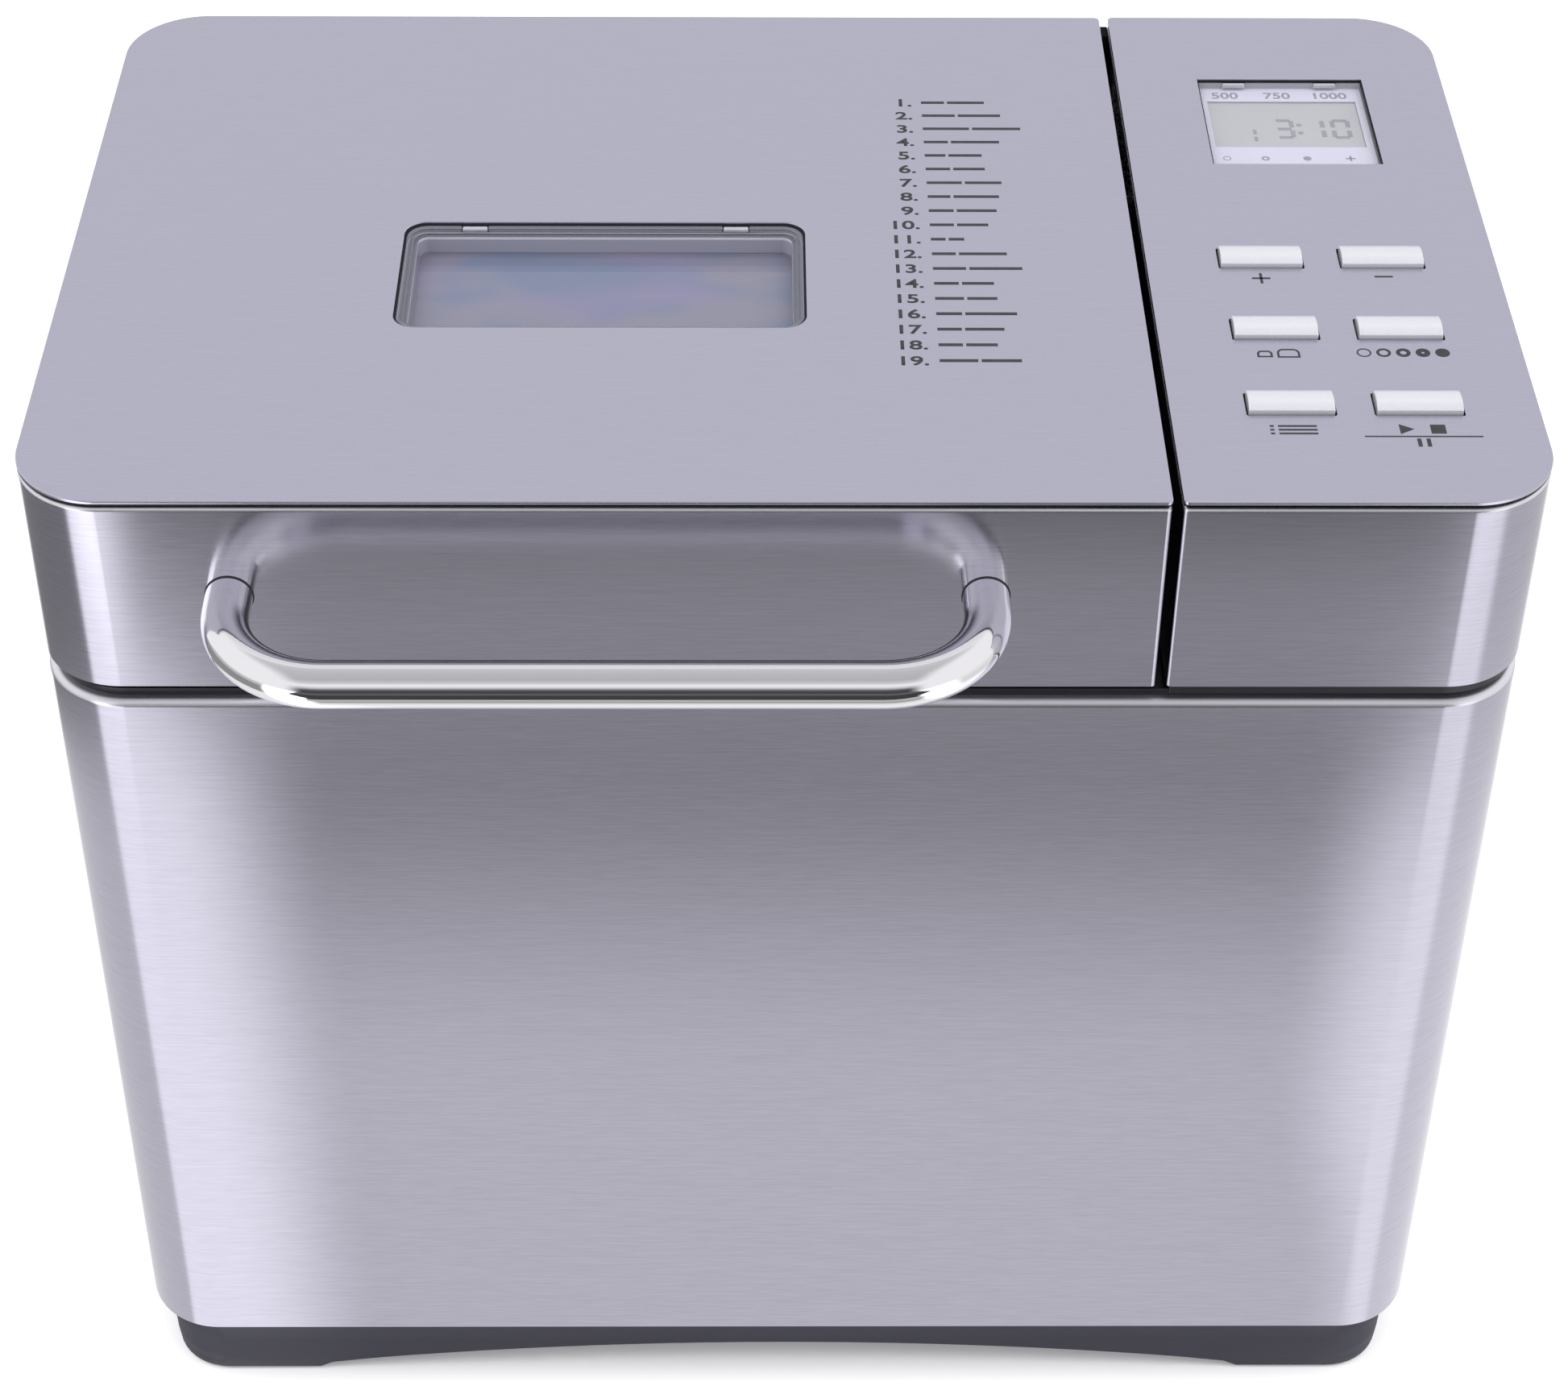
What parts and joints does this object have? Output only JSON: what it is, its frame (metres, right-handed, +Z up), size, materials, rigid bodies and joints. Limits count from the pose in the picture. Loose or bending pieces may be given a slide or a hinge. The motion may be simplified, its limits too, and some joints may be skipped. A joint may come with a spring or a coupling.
{
  "type": "bread machine",
  "caption": "Bread machine with hinged lid, window, bent tube handle, push-button panel, lift-out pan with kneading paddle and belt drive.",
  "frame": {"origin": "on the table, under the middle of the box round housing and handle", "axes": "+X to the right seen from the front, +Y to the rear, +Z up"},
  "size_m": [0.36, 0.264, 0.3202],
  "materials": {
    "brushed_steel": "fine horizontal brushing",
    "polished_steel": "polished tube",
    "inner_steel": "plain rolled sheet",
    "screw_steel": "zinc plated",
    "core_steel": "stacked laminations",
    "element_sheath": "dark oxidised sheath",
    "slate_plastic": "fine grain",
    "black_plastic": "semi-gloss",
    "pale_plastic": "plain",
    "board": "lacquered",
    "display_grey": "reflective liquid crystal",
    "rubber": "matt",
    "silicone": "matt",
    "cast_aluminium": "cast",
    "pan_coating": "dark non-stick coating",
    "bronze": "sintered",
    "clear_lens": "clear moulding",
    "window_glass": "clear",
    "button_silver": "satin silver paint"
  },
  "bodies": {
    "housing": {"base": "slate_plastic", "rubber_feet": "rubber", "housing_screws": "screw_steel", "body_wrap": "brushed_steel", "rear_panel": "slate_plastic", "cable_gland": "rubber", "deck": "black_plastic", "baking_chamber": "inner_steel", "chamber_spacers": "screw_steel", "heating_element": "element_sheath", "element_clips": "inner_steel", "temperature_sensor": "inner_steel", "pan_seat": "cast_aluminium", "pan_clips": "inner_steel", "drive_bracket": "inner_steel", "bearing_housing": "cast_aluminium", "bearing_bushes": "bronze", "drive_belt": "rubber", "motor_stator": "core_steel", "motor_frames": "cast_aluminium", "motor_screws": "screw_steel", "capacitor": "pale_plastic", "power_board": "board", "ribbon_cable": "pale_plastic", "panel_carrier": "black_plastic", "panel_skirt": "brushed_steel", "panel_plate": "brushed_steel", "control_board": "board", "display_module": "display_grey", "display_lens": "clear_lens"},
    "drive": {"drive_shaft": "screw_steel", "drive_dog": "cast_aluminium", "large_pulley": "cast_aluminium", "shaft_nut": "screw_steel"},
    "motor": {"motor_rotor": "core_steel", "small_pulley": "cast_aluminium"},
    "pan": {"bread_pan": "pan_coating", "pan_collar": "cast_aluminium", "pan_bush": "cast_aluminium", "pan_ears": "inner_steel", "shaft_seal": "silicone"},
    "bail": {"pan_bail": "inner_steel"},
    "pan_spindle": {"pan_shaft": "screw_steel"},
    "paddle": {"kneading_paddle": "pan_coating"},
    "lid": {"lid_plate": "brushed_steel", "lid_skirt": "brushed_steel", "lid_frame": "black_plastic", "lid_liner": "inner_steel", "window_lens": "clear_lens", "window_glass": "window_glass", "lid_seal": "silicone", "lid_handle": "polished_steel", "lid_screws": "screw_steel", "hinge_pins": "screw_steel"},
    "button_plus": {"button_plus": "button_silver"},
    "button_minus": {"button_minus": "button_silver"},
    "button_loaf": {"button_loaf": "button_silver"},
    "button_crust": {"button_crust": "button_silver"},
    "button_menu": {"button_menu": "button_silver"},
    "button_start": {"button_start": "button_silver"}
  },
  "joints": [
    {"name": "lid_hinge", "type": "hinge", "parent": "housing", "child": "lid", "pos_m": [-0.0454, 0.126, 0.27], "axis": [-1, 0, 0], "range_deg": [0, 85]},
    {"name": "button_plus_press", "type": "slide", "parent": "housing", "child": "button_plus", "axis": [0, 0, -1], "range_m": [0, 0.0012], "stiffness_N_per_m": 400, "springref_m": -0.0006},
    {"name": "button_minus_press", "type": "slide", "parent": "housing", "child": "button_minus", "axis": [0, 0, -1], "range_m": [0, 0.0012], "stiffness_N_per_m": 400, "springref_m": -0.0006},
    {"name": "button_loaf_press", "type": "slide", "parent": "housing", "child": "button_loaf", "axis": [0, 0, -1], "range_m": [0, 0.0012], "stiffness_N_per_m": 400, "springref_m": -0.0006},
    {"name": "button_crust_press", "type": "slide", "parent": "housing", "child": "button_crust", "axis": [0, 0, -1], "range_m": [0, 0.0012], "stiffness_N_per_m": 400, "springref_m": -0.0006},
    {"name": "button_menu_press", "type": "slide", "parent": "housing", "child": "button_menu", "axis": [0, 0, -1], "range_m": [0, 0.0012], "stiffness_N_per_m": 400, "springref_m": -0.0006},
    {"name": "button_start_press", "type": "slide", "parent": "housing", "child": "button_start", "axis": [0, 0, -1], "range_m": [0, 0.0012], "stiffness_N_per_m": 400, "springref_m": -0.0006},
    {"name": "pan_lift", "type": "slide", "parent": "housing", "child": "pan", "axis": [0, 0, 1], "range_m": [0, 0.012]},
    {"name": "bail_swing", "type": "hinge", "parent": "pan", "child": "bail", "pos_m": [-0.0454, 0.01, 0.2423], "axis": [-1, 0, 0], "range_deg": [0, 30]},
    {"name": "pan_shaft_spin", "type": "hinge", "parent": "pan", "child": "pan_spindle", "pos_m": [-0.0454, 0.01, 0.1], "axis": [0, 0, 1], "continuous": true},
    {"name": "paddle_pull", "type": "slide", "parent": "pan_spindle", "child": "paddle", "axis": [0, 0, 1], "range_m": [0, 0.03]},
    {"name": "drive_spin", "type": "hinge", "parent": "housing", "child": "drive", "pos_m": [-0.0454, 0.01, 0.05], "axis": [0, 0, 1], "continuous": true, "deforming": ["drive_belt"]},
    {"name": "motor_spin", "type": "hinge", "parent": "housing", "child": "motor", "pos_m": [0.13045, 0.01, 0.05], "axis": [0, 0, 1], "continuous": true}
  ],
  "couplings": [
    {"joint": "motor_spin", "follows": "drive_spin", "ratio": 5},
    {"joint": "pan_shaft_spin", "follows": "drive_spin", "ratio": 1}
  ]
}
